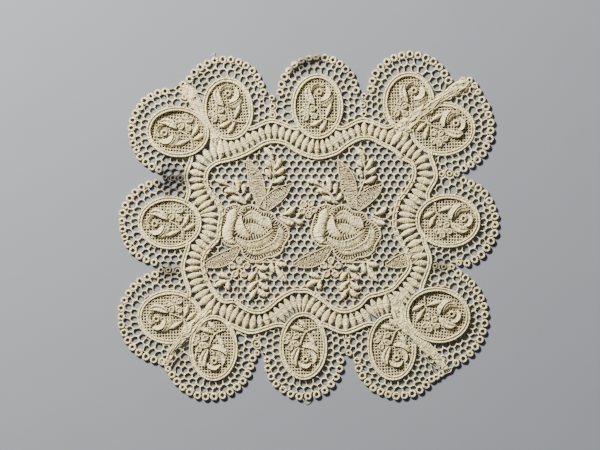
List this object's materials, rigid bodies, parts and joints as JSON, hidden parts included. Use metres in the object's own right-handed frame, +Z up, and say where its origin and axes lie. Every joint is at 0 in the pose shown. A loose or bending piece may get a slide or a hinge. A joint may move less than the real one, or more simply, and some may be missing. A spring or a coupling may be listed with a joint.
{
  "type": "lace doily",
  "caption": "Small rectangular lace doily lying flat, with a scalloped border of oval rose medallions round a netted middle that carries large padded roses, leaves and sprays.",
  "frame": {"origin": "centre of the doily's outline, on its flat underside", "axes": "+Z up through the cloth, +X along the longer side, from left to right as the roses stand upright, +Y towards the top border"},
  "size_m": [0.183, 0.1675, 0.0027],
  "materials": {
    "cotton_lace": "matt cream cotton thread with slightly lustrous satin stitches"
  },
  "bodies": {
    "root": {"centre_band": "cotton_lace", "left_strip": "cotton_lace", "right_strip": "cotton_lace"}
  },
  "joints": []
}
